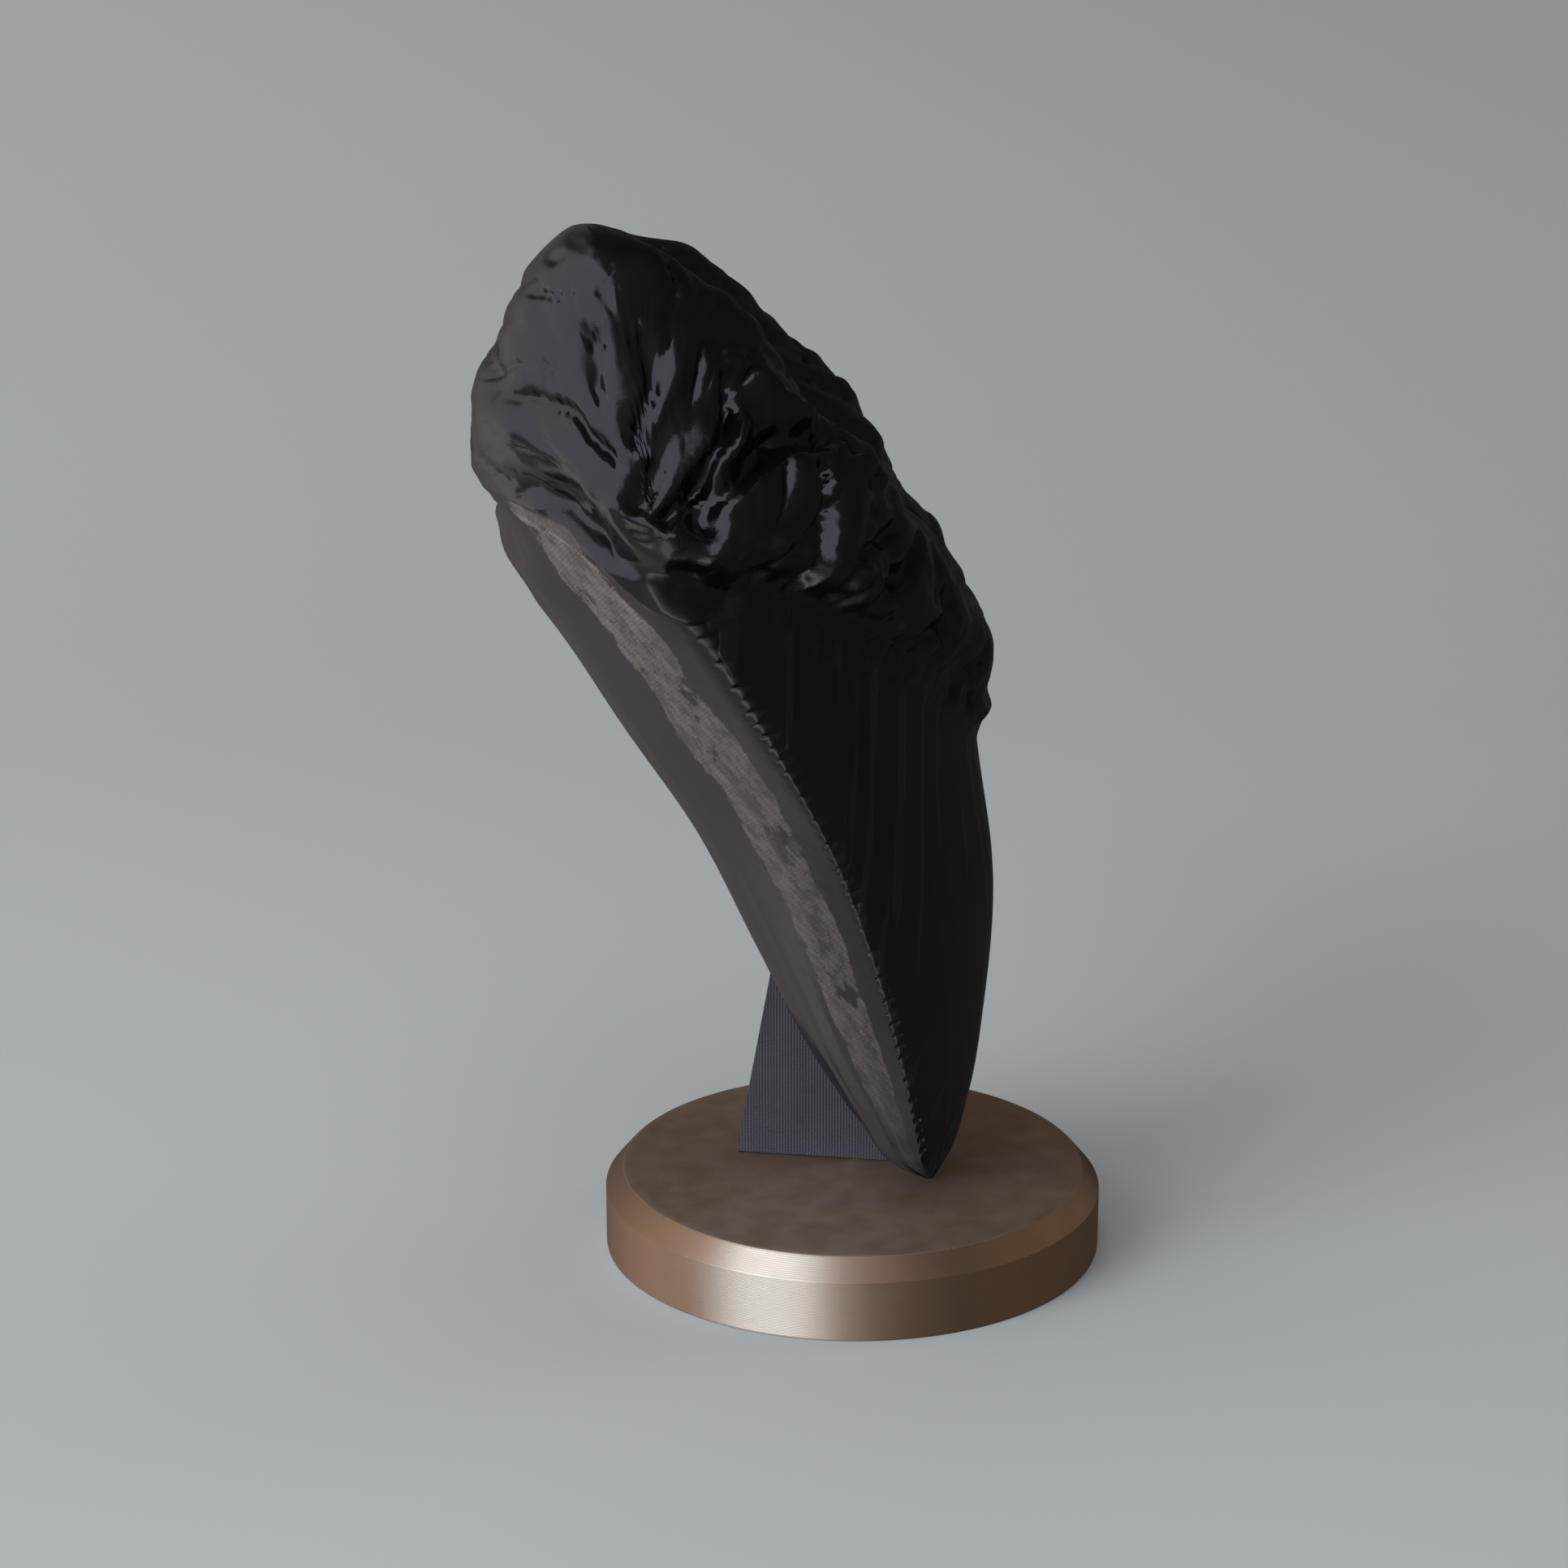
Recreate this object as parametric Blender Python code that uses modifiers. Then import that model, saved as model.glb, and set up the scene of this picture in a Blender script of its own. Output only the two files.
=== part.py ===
"""A megalodon tooth tipped back on a wedge, on a round disc with a bevelled rim.

Metres, +Z up. The origin is the centre of the disc's underside. The tooth stands on its tip.
Its bulging tongue side faces -Y, its flatter lip side faces +Y and leans on the wedge, and its
two serrated cutting edges face -X and +X. The tooth's own axes are x to the -X edge, y to the
tongue side and z from the tip to the root.
"""
import math

import bpy
import numpy as np
from mathutils import Matrix, Vector

OBJECT_NAME = "megalodon_tooth"

# Disc
DISC_DIAMETER = 0.080
DISC_HEIGHT = 0.013
DISC_BEVEL_RUN = 0.0028
DISC_BEVEL_DROP = 0.0033
DISC_SIDES = 96
DISC_EDGE = 0.0003

# Tooth: length from the tip to the end of the longer root lobe, and how it stands
TOOTH_LENGTH = 0.164
TOOTH_LEAN = math.radians(16.3)
TOOTH_ROLL = math.radians(3.0)
TOOTH_TIP = Vector((-0.0088, -0.0120, DISC_HEIGHT))
GAP = 0.0003

# Tooth sections, all as fractions of the tooth's length. A station runs from 0 at the tip to
# 1 on the root's basal margin.
STATIONS = (0, .03, .09, .18, .31, .46, .60, .72, .83, .92, 1)
HALF_WIDTH = (0, .040, .084, .140, .198, .255, .312, .360, .395, .397, .386)
LIP_BULGE = (0, .027, .052, .081, .104, .120, .137, .147, .164, .143, .120)
TONGUE_BULGE = (0, .027, .057, .089, .128, .157, .203, .204, .194, .164, .122)
EDGE_OFFSET = (0, -.001, .003, .008, .011, .004, -.017, -.036, -.054, -.058, -.052)

# Height of the basal margin across the tooth, from the +X edge (-1) to the -X edge (1)
MARGIN_PLACES = (-1, -.86, -.66, -.40, -.12, 0, .12, .40, .66, .86, 1)
MARGIN_HEIGHTS = (.76, .886, .942, .904, .845, .835, .84, .94, 1.0, .95, .79)
LEVEL_MARGIN = .90
ROOT_STATION = .60

# How far in from its outline the root is rounded, and the steps that its outline is drawn in
ROOT_RIM = .31
OUTLINE_STEPS = 120

# The mesh is drawn to a point this close to where an edge meets the margin, because its lines
# run side by side there
CORNER_ACROSS = .02
CORNER_STATION = .08

# Height of the enamel's edge against the distance from the middle, on each side
ENAMEL_PLACES = (0, .2, .4, .75, .87, .93, 1)
TONGUE_ENAMEL = (.432, .44, .462, .552, .602, .630, .668)
LIP_ENAMEL = (.79, .795, .80, .79, .765, .735, .668)

# Serrations along the cutting edges
SERRATION_COUNT = 50
SERRATION_DEPTH = .0042
SERRATED_TO = .685

# Tooth mesh: rows along the tooth, columns across each side, and the triangles that are kept
CROWN_ROWS = 2*SERRATION_COUNT + 8
ROOT_ROWS = 66
COLUMNS = 46
TOOTH_TRIANGLES = 8600

# Wedge: its foot on the disc, its thickness and its side outline (out from the tooth, up)
WEDGE_FOOT = Vector((0.0044, 0.0186, DISC_HEIGHT))
WEDGE_TURN = math.radians(-12.2)
WEDGE_THICKNESS = 0.0095
WEDGE_LENGTH = 0.029
WEDGE_HEIGHT = 0.040
WEDGE_BACK_SLOPE = math.radians(10.2)

# Furrows, pits and swellings of the root: the route in the tooth's own axes, the width, and
# the height, which is negative in a furrow, all in millimetres. A pit is a route of one point.
MARKS = (
    (((52.5, -10.5, 152), (55.5, -10.5, 144)), 1.2, -1.8),
    (((56.5, -17, 144), (56.5, -15, 142), (58, -14, 138), (58.5, -12.5, 135)), 1.2, -1.8),
    (((57.5, -6.5, 136.5), (59, -5.5, 133), (62, -10.5, 128)), 1.8, -1.4),
    (((54.5, -2, 147.5), (56.5, -4, 142), (57.5, -8, 137.5)), 1.1, -1),
    (((55.5, 5, 139), (59.5, 2, 133), (64, -4, 127.5), (65.5, -8, 125.5)), 1.4, -1.8),
    (((46, 15.5, 128), (55.5, 9, 128), (62, .5, 127), (64, -2, 125.5), (66.5, -5.5, 123)), 2.4, -2.2),
    (((47.5, 15.5, 124), (53, 12.5, 117), (56, 7.5, 110.5)), 2, -2),
    (((31, 26, 108.5), (38.5, 23, 105), (45, 19, 103.5)), 1.8, -1.6),
    (((43, 15.5, 97.5),), 1.6, -1.4),
    (((41, 19.5, 96),), 1.6, -1.4),
    (((24, 28.5, 85.5),), 2, -1.6),
    (((22.5, 25.5, 80.5),), 2, -1.6),
    (((15.5, 27, 75.5),), 2, -1.6),
    (((60.5, 4, 122),), 4.5, 2),
    (((57.5, 0, 139),), 3, 1.2),
    (((61.5, -5, 130.5),), 2.4, 1.2),
    (((47, 17.5, 114),), 4.5, 1.6),
    (((34, 25, 98),), 4, 1.4),
    (((66, -3, 119),), 2, 1),
    (((60.5, 2.5, 114),), 2, 1.2),
    (((56, 7.5, 110),), 2, 1.2),
    (((-51, -11, 140), (-55, -10, 133)), 1.2, -1.8),
    (((-58, -15, 134), (-59, -12, 127)), 1.4, -1.6),
    (((-54, 4, 131), (-59, 0, 125), (-63, -6, 120)), 1.6, -1.8),
    (((-44, 15, 122), (-54, 9, 121), (-62, 0, 119)), 2.4, -2),
    (((-45, 16, 117), (-52, 11, 110)), 2, -1.8),
    (((-29, 26, 106), (-36, 23, 102), (-43, 19, 100)), 1.8, -1.6),
    (((-40, 18, 94),), 1.6, -1.4),
    (((-26, 27, 84),), 2, -1.6),
    (((-9, 31, 79),), 1.6, -1.4),
    (((-57, 5, 116),), 4.5, 1.8),
    (((-46, 17, 109),), 4, 1.6),
    (((-33, 25, 95),), 4, 1.4),
    (((-60, 1, 112),), 2, 1.2),
    (((0, 27, 104), (1, 30, 97)), 1.6, -1.6),
)


def clear_scene():
    """Remove the start-up objects."""
    for thing in list(bpy.data.objects):
        bpy.data.objects.remove(thing, do_unlink=True)


def new_collection(name):
    """A collection in the scene."""
    collection = bpy.data.collections.new(name)
    bpy.context.scene.collection.children.link(collection)
    return collection


def make_material(name, colour, roughness, metallic):
    """A plain Principled material."""
    material = bpy.data.materials.new(name)
    material.use_nodes = True
    shader = material.node_tree.nodes["Principled BSDF"]
    shader.inputs["Base Color"].default_value = (*colour, 1.0)
    shader.inputs["Roughness"].default_value = roughness
    shader.inputs["Metallic"].default_value = metallic
    return material


def add_mesh_object(name, points, faces, collection):
    """A mesh object from its points and faces."""
    mesh = bpy.data.meshes.new(name)
    mesh.from_pydata([tuple(point) for point in points], [], faces)
    mesh.validate()
    thing = bpy.data.objects.new(name, mesh)
    collection.objects.link(thing)
    return thing


def smooth_curve(x, places, values):
    """A smooth curve through the values at the places, as cubics with matched slopes."""
    places = np.asarray(places, dtype=float)
    values = np.asarray(values, dtype=float)
    slopes = np.gradient(values, places)
    x = np.clip(x, places[0], places[-1])
    first = np.clip(np.searchsorted(places, x, side="right") - 1, 0, len(places) - 2)
    span = places[first + 1] - places[first]
    t = (x - places[first])/span
    return ((1 + 2*t)*(1 - t)**2*values[first] + t*(1 - t)**2*span*slopes[first]
            + t*t*(3 - 2*t)*values[first + 1] + t*t*(t - 1)*span*slopes[first + 1])


def ramp(x, start, end):
    """0 before start, 1 after end and smooth between them."""
    t = np.clip((x - start)/(end - start), 0, 1)
    return t*t*(3 - 2*t)


def bump(x, middle, width):
    """A smooth hump, 1 at the middle."""
    return np.exp(-((x - middle)/width)**2)


def enamel_height(side, across):
    """Where the enamel ends, side -1 being the lip side and 1 the tongue side."""
    values = LIP_ENAMEL if side < 0 else TONGUE_ENAMEL
    return smooth_curve(np.abs(across), ENAMEL_PLACES, values)


def flat_place(across, station):
    """Width and height of points of the tooth, as fractions of its length.

    across runs from -1 at the +X edge to 1 at the -X edge, and station from the tip to the
    basal margin.
    """
    in_root = np.clip((station - ROOT_STATION)/(1 - ROOT_STATION), 0, 1)
    margin = smooth_curve(across, MARGIN_PLACES, MARGIN_HEIGHTS)
    height = LEVEL_MARGIN*station + (margin - LEVEL_MARGIN)*in_root**2
    return across*smooth_curve(station, STATIONS, HALF_WIDTH), height


def distance_to_route(points, route):
    """Distance of each point from a route of straight lines."""
    nearest = np.inf
    for start, end in zip(route, route[1:] or route):
        along = np.subtract(end, start)
        share = np.clip((points - start) @ along/max(along @ along, 1e-9), 0, 1)
        away = np.linalg.norm(points - start - share[:, None]*along, axis=1)
        nearest = np.minimum(nearest, away)
    return nearest


def root_outline():
    """The route of the root's outline, up one edge, along the basal margin and down the other."""
    station = np.linspace(ROOT_STATION - .1, 1, OUTLINE_STEPS)
    across = np.sin(np.linspace(1, -1, 2*OUTLINE_STEPS)*math.pi/2)
    edge = np.ones(OUTLINE_STEPS)
    width, height = flat_place(np.concatenate([edge, across, -edge]),
                               np.concatenate([station, np.ones(2*OUTLINE_STEPS), station[::-1]]))
    return list(zip(width, height))


def tooth_side(side, across, station):
    """Points of one side of the tooth, as fractions of its length.

    The depth is the edge's offset plus the bulge times a closing, which falls to 0 at the
    cutting edges like a parabola and all round the root like a blunt rim.
    """
    corner = (1 - np.abs(across))/CORNER_ACROSS + (1 - station)/CORNER_STATION < 1
    across = np.where(corner, np.sign(across), across)
    station = np.where(corner, 1, station)
    width, height = flat_place(across, station)
    above = height - enamel_height(side, across)
    root = ramp(above, -.02, .08)
    inward = distance_to_route(np.stack([width, height], -1).reshape(-1, 2), root_outline())
    inward = np.clip(inward.reshape(width.shape)/ROOT_RIM, 0, 1)
    blunt = ramp(above, -.03, .04)
    closing = (1 - across**2)**(1 - blunt)*(1 - (1 - inward)**2.3)**blunt
    closing = np.where((np.abs(across) > .99999) | (station > .99999), 0, closing)
    rounded = np.sqrt(closing)

    notch = 1 - np.abs(np.sin(np.pi*SERRATION_COUNT*height/SERRATED_TO))
    serrated = ramp(height, .02, .06)*(1 - ramp(height, SERRATED_TO - .03, SERRATED_TO))
    width = width - np.sign(across)*SERRATION_DEPTH*notch*serrated*ramp(np.abs(across), .955, 1)

    depth = smooth_curve(station, STATIONS, EDGE_OFFSET)
    if side < 0:
        fuller = ramp(above, -.30, .06)
        depth = depth - smooth_curve(station, STATIONS, LIP_BULGE)*closing**(1 - .4*fuller)
        depth = depth - .013*bump(height, .845, .042)*rounded
        depth = depth + .02*ramp(station, .80, .97)*bump(across, 0, .34)*rounded
    else:
        depth = depth + smooth_curve(station, STATIONS, TONGUE_BULGE)*closing**(.8 - .25*root)
        depth = depth - .11*ramp(station, .70, .92)*bump(across, .02, .36)*rounded
        depth = depth + .022*ramp(station, .62, .86)*bump(across, -.60, .22)*rounded
        knob = ramp(above, -.008, .012)*(1 - ramp(above, .05, .15))*bump(across, 0, .5)
        depth = depth + .014*knob*rounded
    return width, depth, height, closing


def tooth_rings():
    """The tooth as closed rings from the tip to the margin, with each point's side, place
    across, height above the enamel's edge and share of the full thickness."""
    crown = np.linspace(0, SERRATED_TO/LEVEL_MARGIN, CROWN_ROWS + 1)
    share = np.linspace(0, 1, ROOT_ROWS + 1)
    root = crown[-1] + (1 - crown[-1])*(.5*share + .5*np.sin(share*math.pi/2))
    stations = np.concatenate([crown, root[1:]])
    across = np.sin(np.linspace(-1, 1, COLUMNS + 1)*math.pi/2)
    rings = []
    for side, places in ((-1, across[:-1]), (1, across[::-1][:-1])):
        place, station = np.meshgrid(places, stations)
        width, depth, height, closing = tooth_side(side, place, station)
        above = height - enamel_height(side, place)
        sides = np.full_like(place, side)
        rings.append(np.stack([width, depth, height, sides, place, above, closing], -1))
    return np.concatenate(rings, axis=1)


def merged(rings):
    """The rings' points with those that coincide made one, and the faces between them."""
    rows, columns, _ = rings.shape
    values = rings.reshape(-1, rings.shape[2])
    _, first, index = np.unique(np.round(values[:, :3], 4), axis=0, return_index=True,
                                return_inverse=True)
    index = index.reshape(rows, columns)
    faces = []
    for row in range(rows - 1):
        for column in range(columns):
            after = (column + 1) % columns
            corners = (index[row, column], index[row, after], index[row + 1, after],
                       index[row + 1, column])
            face = list(dict.fromkeys(int(corner) for corner in corners))
            if len(face) > 2:
                faces.append(face)
    return values[first], faces


def value_noise(points, pitch, seed):
    """Smooth random heights from -1 to 1: random values on a lattice of the pitch, blended."""
    table = np.random.default_rng(seed).uniform(-1, 1, (32, 32, 32))
    cell = np.floor(points/pitch).astype(int)
    t = points/pitch - cell
    t = t*t*(3 - 2*t)
    total = 0
    for x in (0, 1):
        for y in (0, 1):
            for z in (0, 1):
                corner = table[tuple(((cell + (x, y, z)) % 32).T)]
                weight = np.abs(1 - x - t[:, 0])*np.abs(1 - y - t[:, 1])*np.abs(1 - z - t[:, 2])
                total = total + corner*weight
    return total


def pillows(points, pitch, stretch, seed):
    """Puffy folds between sharp furrows, which run down and out to the cutting edges: the root
    of a noise that is drawn out along them, so that a furrow lies wherever the noise is 0."""
    x, y, z = (points + 1.5*value_noise(points, 7, seed + 20)[:, None]).T
    over = .7*np.abs(x) + .7*z
    along = .7*np.abs(x) - .7*z
    folds = value_noise(np.stack([over, along*stretch, y*stretch], -1), pitch, seed)
    return np.sqrt(np.abs(folds) + .002) - .5


def tooth_relief(values):
    """Height of the relief over the plain tooth at each point, in millimetres: the step up to
    the root, the groove and the two ridges along the enamel's edge, the marks and the folds."""
    points = values[:, :3]*TOOTH_LENGTH*1000
    side, across, above, closing = values[:, 3:7].T
    root = ramp(above, .0, .02)
    tongue = ramp(side*closing, -.85, -.35)
    thick = ramp(closing, 0, .25)
    beside = ramp(np.abs(across), .55, .95)
    relief = (.0015 + .0045*tongue)*ramp(above, .0, .012)
    groove = (.006 + .016*beside*thick)*(.10 + .90*tongue)
    relief = relief - groove*bump(above, .024 + .011*beside, .014 + .010*beside)
    relief = relief + (.005 + .005*beside)*(.1 + .9*tongue)*bump(above, .078, .020)
    relief = relief + .003*(.3 + .7*tongue)*thick*bump(above, -.004, .007)
    relief = relief*TOOTH_LENGTH*1000
    for route, width, rise in MARKS:
        relief = relief + root*bump(distance_to_route(points, route), 0, width)*rise
    crust = ramp(above, .015, .05)*thick
    wrinkled = .35 + .65*ramp(tongue*(1 - .5*beside), .2, .7)
    relief = relief + 1.1*value_noise(points, 12, 6)*crust
    relief = relief + 1.5*pillows(points, 5.2, .42, 13)*crust*wrinkled
    return relief


def make_tooth(collection):
    """The tooth: a loft of rings with its relief, cut down to few triangles."""
    values, faces = merged(tooth_rings())
    tooth = add_mesh_object("tooth", values[:, :3], faces, collection)
    normals = np.empty(3*len(values))
    tooth.data.vertices.foreach_get("normal", normals)
    relief = normals.reshape(-1, 3)*tooth_relief(values)[:, None]/1000
    tooth.data.vertices.foreach_set("co", (values[:, :3]*TOOTH_LENGTH + relief).ravel())
    tooth.data.update()
    tooth.data.shade_smooth()
    triangles = sum(len(face) - 2 for face in faces)
    fewer = tooth.modifiers.new("fewer_triangles", "DECIMATE")
    fewer.ratio = TOOTH_TRIANGLES/triangles
    lean = Matrix.Rotation(-TOOTH_LEAN, 3, "X")
    roll = Matrix.Rotation(TOOTH_ROLL, 3, "Y")
    tooth.rotation_euler = (roll @ lean @ Matrix.Rotation(math.pi, 3, "Z")).to_euler()
    tooth.location = TOOTH_TIP + Vector((0, 0, GAP))
    tooth.data.materials.append(make_material("black_glossy_plastic", (.012, .011, .013), .28, 0))
    return tooth


def make_wedge(collection, cutters, tooth):
    """The wedge: an upright slab with a sloping back, hollowed in front to the tooth."""
    back = WEDGE_HEIGHT*math.tan(WEDGE_BACK_SLOPE)
    outline = ((0, 0), (-WEDGE_LENGTH, 0), (-back - .002, WEDGE_HEIGHT), (-back, WEDGE_HEIGHT))
    points = [(x, y, z) for x in (0, WEDGE_THICKNESS) for y, z in outline]
    faces = [(0, 1, 2, 3), (7, 6, 5, 4), (0, 4, 5, 1), (1, 5, 6, 2), (2, 6, 7, 3), (3, 7, 4, 0)]
    wedge = add_mesh_object("support_wedge", points, faces, collection)
    wedge.rotation_euler = (0, 0, WEDGE_TURN)
    wedge.location = WEDGE_FOOT + Vector((0, 0, GAP))
    cutter = bpy.data.objects.new("tooth_clearance", tooth.data)
    cutter.matrix_basis = tooth.matrix_basis
    cutters.objects.link(cutter)
    fewer = cutter.modifiers.new("fewer_triangles", "DECIMATE")
    fewer.ratio = tooth.modifiers[0].ratio
    grow = cutter.modifiers.new("clearance", "DISPLACE")
    grow.mid_level = 0
    grow.strength = GAP
    cutter.hide_render = True
    cutter.display_type = "WIRE"
    cut = wedge.modifiers.new("tooth_bed", "BOOLEAN")
    cut.operation = "DIFFERENCE"
    cut.object = cutter
    wedge.data.materials.append(make_material("dark_violet_plastic", (.045, .040, .060), .42, 0))
    return wedge


def make_disc(collection):
    """The disc: a turned profile with a bevelled top rim."""
    radius = DISC_DIAMETER/2
    profile = ((0, DISC_HEIGHT), (radius - DISC_BEVEL_RUN, DISC_HEIGHT),
               (radius, DISC_HEIGHT - DISC_BEVEL_DROP), (radius, 0), (0, 0))
    mesh = bpy.data.meshes.new("base_disc")
    mesh.from_pydata([(x, 0, z) for x, z in profile], [(i, i + 1) for i in range(4)], [])
    disc = bpy.data.objects.new("base_disc", mesh)
    collection.objects.link(disc)
    turn = disc.modifiers.new("turn", "SCREW")
    turn.steps = DISC_SIDES
    turn.render_steps = DISC_SIDES
    turn.use_merge_vertices = True
    turn.merge_threshold = .00001
    turn.use_smooth_shade = True
    edge = disc.modifiers.new("edge", "BEVEL")
    edge.width = DISC_EDGE
    edge.limit_method = "ANGLE"
    edge.harden_normals = True
    disc.data.materials.append(make_material("copper_satin", (.42, .27, .17), .35, 1))
    return disc


def main():
    clear_scene()
    collection = new_collection(OBJECT_NAME)
    cutters = new_collection("cutters")
    make_disc(collection)
    tooth = make_tooth(collection)
    make_wedge(collection, cutters, tooth)


main()
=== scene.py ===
"""A megalodon tooth on its stand: a glossy black printed tooth, tipped back on a wedge, on a
copper-coloured disc. Metres, +Z up, origin at the centre of the disc's underside."""
import math

import bpy
import numpy as np
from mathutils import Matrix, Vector


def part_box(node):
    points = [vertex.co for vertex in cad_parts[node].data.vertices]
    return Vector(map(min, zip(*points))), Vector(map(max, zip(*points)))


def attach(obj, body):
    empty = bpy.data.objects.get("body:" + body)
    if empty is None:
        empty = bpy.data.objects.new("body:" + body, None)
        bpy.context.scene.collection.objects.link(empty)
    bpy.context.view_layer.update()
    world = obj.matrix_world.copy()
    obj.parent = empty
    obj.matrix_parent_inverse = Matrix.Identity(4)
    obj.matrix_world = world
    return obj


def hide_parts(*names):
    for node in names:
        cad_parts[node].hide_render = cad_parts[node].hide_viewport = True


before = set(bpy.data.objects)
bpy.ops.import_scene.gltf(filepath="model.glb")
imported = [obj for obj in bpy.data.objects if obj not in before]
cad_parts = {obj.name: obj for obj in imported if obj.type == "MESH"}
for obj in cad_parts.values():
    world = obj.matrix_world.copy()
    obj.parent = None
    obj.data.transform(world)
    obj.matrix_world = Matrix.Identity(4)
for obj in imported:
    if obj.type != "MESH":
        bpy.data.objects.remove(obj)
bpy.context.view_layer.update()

# ---- Camera ---------------------------------------------------------------------------------
# It looks at the tooth's near cutting edge, a little from above.

CAMERA_PLACE = (-0.5477, 0.0398, 0.2460)
CAMERA_LOOKS = (0.9544, -0.0500, -0.2942)
CAMERA_LENS = 83.85
CAMERA_SENSOR = 36

camera = bpy.data.objects.new("camera", bpy.data.cameras.new("camera"))
camera.data.lens = CAMERA_LENS
camera.data.sensor_width = CAMERA_SENSOR
camera.data.clip_start = .01
camera.location = CAMERA_PLACE
camera.rotation_euler = Vector(CAMERA_LOOKS).to_track_quat("-Z", "Y").to_euler()
bpy.context.collection.objects.link(camera)
bpy.context.scene.camera = camera
bpy.context.scene.view_settings.view_transform = "Standard"

# ---- Floor and backdrop ---------------------------------------------------------------------
# One sheet of pale paper, which lies under the stand and curves up behind it.

PAPER_WIDTH = 3.0
PAPER_NEAR = -.9
PAPER_BEND = .30
PAPER_BEND_RADIUS = 1.7
PAPER_TOP = 1.9


def grid_faces(rows, columns, closed):
    """Corner numbers of the quads of a grid, whose last column meets its first if closed."""
    index = np.arange(rows*columns).reshape(rows, columns)
    if closed:
        index = np.concatenate([index, index[:, :1]], axis=1)
    corners = (index[:-1, :-1], index[:-1, 1:], index[1:, 1:], index[1:, :-1])
    return np.stack(corners, axis=-1).reshape(-1, 4)


def new_piece(name, points, faces):
    """A smooth-shaded mesh object at the origin."""
    mesh = bpy.data.meshes.new(name)
    mesh.from_pydata(points, [], faces)
    mesh.shade_smooth()
    piece = bpy.data.objects.new(name, mesh)
    bpy.context.collection.objects.link(piece)
    return piece


def paper_points():
    """Grid of the paper: a level run, a quarter circle and an upright run, carried across Y."""
    turn = np.linspace(0, math.pi/2, 33)
    x = np.concatenate([[PAPER_NEAR], PAPER_BEND + PAPER_BEND_RADIUS*np.sin(turn),
                        [PAPER_BEND + PAPER_BEND_RADIUS]])
    z = np.concatenate([[0], PAPER_BEND_RADIUS*(1 - np.cos(turn)), [PAPER_TOP]])
    y = np.linspace(-PAPER_WIDTH/2, PAPER_WIDTH/2, 3)
    run, across = np.meshgrid(np.arange(len(x)), y, indexing="ij")
    return np.stack([x[run], across, z[run]], axis=-1).reshape(-1, 3)


paper = new_piece("paper", paper_points(), grid_faces(35, 3, False))
paper.visible_glossy = False


class Nodes:
    """Short ways to add nodes to a material, a world or a group."""

    def __init__(self, tree):
        self.tree = tree

    def add(self, kind, settings=None, **inputs):
        """A node, with its settings and its inputs; an input is a value or another's output.
        An input's name has its spaces written as underscores, or is _0, _1 for its number."""
        made = self.tree.nodes.new(kind)
        for name, value in (settings or {}).items():
            setattr(made, name, value)
        for name, value in inputs.items():
            socket = made.inputs[int(name[1:]) if name[1:].isdigit() else name.replace("_", " ")]
            if isinstance(value, bpy.types.NodeSocket):
                self.tree.links.new(value, socket)
            else:
                socket.default_value = value
        return made

    def math(self, operation, first, second=0.0, third=0.0):
        """The output of a Math node."""
        made = self.add("ShaderNodeMath", {"operation": operation}, _0=first, _1=second, _2=third)
        return made.outputs[0]

    def ramp(self, factor, *stops):
        """The colour of a ramp with (place, colour) stops."""
        made = self.add("ShaderNodeValToRGB", Fac=factor)
        elements = made.color_ramp.elements
        while len(elements) < len(stops):
            elements.new(1)
        for element, (place, colour) in zip(elements, stops):
            element.position = place
            element.color = colour if len(colour) == 4 else (*colour, 1)
        return made.outputs["Color"]

    def range(self, value, low, high, to_low=0.0, to_high=1.0, smooth=True):
        """A value mapped from one range to another and kept inside it."""
        kind = "SMOOTHSTEP" if smooth else "LINEAR"
        made = self.add("ShaderNodeMapRange", {"interpolation_type": kind}, Value=value,
                        From_Min=low, From_Max=high, To_Min=to_low, To_Max=to_high)
        return made.outputs["Result"]

    def noise(self, place, scale, detail=2.0, roughness=.5):
        """The value of a noise texture."""
        made = self.add("ShaderNodeTexNoise", Vector=place, Scale=scale, Detail=detail,
                        Roughness=roughness)
        return made.outputs["Fac"]

    def mix(self, factor, first, second):
        """Two colours mixed."""
        made = self.add("ShaderNodeMix", {"data_type": "RGBA"}, _0=factor, _6=first, _7=second)
        return made.outputs[2]

    def stretched(self, place, scale):
        """The place scaled along X, Y and Z."""
        return self.add("ShaderNodeMapping", Vector=place, Scale=scale).outputs["Vector"]

    def bump(self, height, distance, strength=1.0, under=None):
        """The normal that a height gives."""
        made = self.add("ShaderNodeBump", Strength=strength, Distance=distance, Height=height)
        if under is not None:
            self.tree.links.new(under, made.inputs["Normal"])
        return made.outputs["Normal"]


def new_material(name):
    """An empty material: its nodes and its Principled BSDF, which is joined to the output."""
    material = bpy.data.materials.new(name)
    material.use_nodes = True
    return material, Nodes(material.node_tree), material.node_tree.nodes["Principled BSDF"]


material, nodes, shader = new_material("pale_paper")
place = nodes.add("ShaderNodeTexCoord").outputs["Object"]
axes = nodes.add("ShaderNodeSeparateXYZ", Vector=place)
# Painted shade: the paper's colour is darker towards the back and top, and darker and warmer to
# the right
away = nodes.range(nodes.math("ADD", axes.outputs["X"], axes.outputs["Z"]), -.3, 2.0, smooth=False)
right = nodes.range(axes.outputs["Y"], .4, -.7, smooth=False)
paper_lit_colour = nodes.ramp(away, (0, (.37, .405, .392)), (.5, (.33, .37, .325)), (1, (.27, .283, .248)))
paper_shaded_colour = nodes.ramp(away, (0, (.30, .33, .32)), (.5, (.25, .26, .24)), (1, (.18, .165, .16)))
nodes.tree.links.new(nodes.mix(right, paper_lit_colour, paper_shaded_colour), shader.inputs["Base Color"])
shader.inputs["Roughness"].default_value = .38
shader.inputs["Specular IOR Level"].default_value = .3
paper.data.materials.append(material)

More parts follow.
